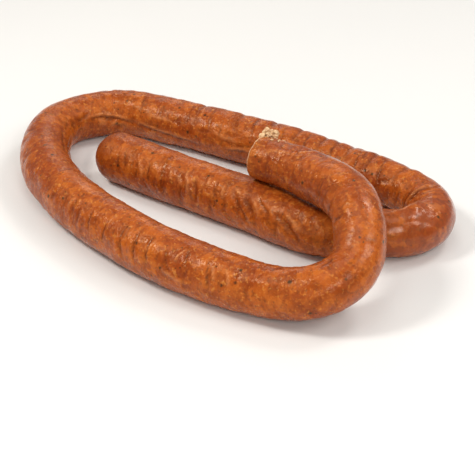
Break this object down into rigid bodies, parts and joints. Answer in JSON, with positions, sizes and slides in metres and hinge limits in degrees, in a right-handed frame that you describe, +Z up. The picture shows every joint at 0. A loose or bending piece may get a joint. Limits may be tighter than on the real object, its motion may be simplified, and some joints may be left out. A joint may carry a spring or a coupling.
{
  "type": "cured sausage",
  "caption": "Long smoked sausage in natural casing, lying in an open coil with its cut end resting on its own first run.",
  "frame": {"origin": "bottom centre of the bounding box, on the surface that the coil rests on", "axes": "+X along the coil's long runs, towards the tight bend; +Y towards the back run; +Z up"},
  "size_m": [0.3318, 0.2034, 0.0697],
  "materials": {
    "casing": "smoked natural gut casing, orange-brown with pale fat and dark spice specks, semi-gloss",
    "filling": "coarse crumbly cooked meat showing at the cut end, matt and moist"
  },
  "bodies": {
    "root": {"sausage": "casing"}
  },
  "joints": []
}
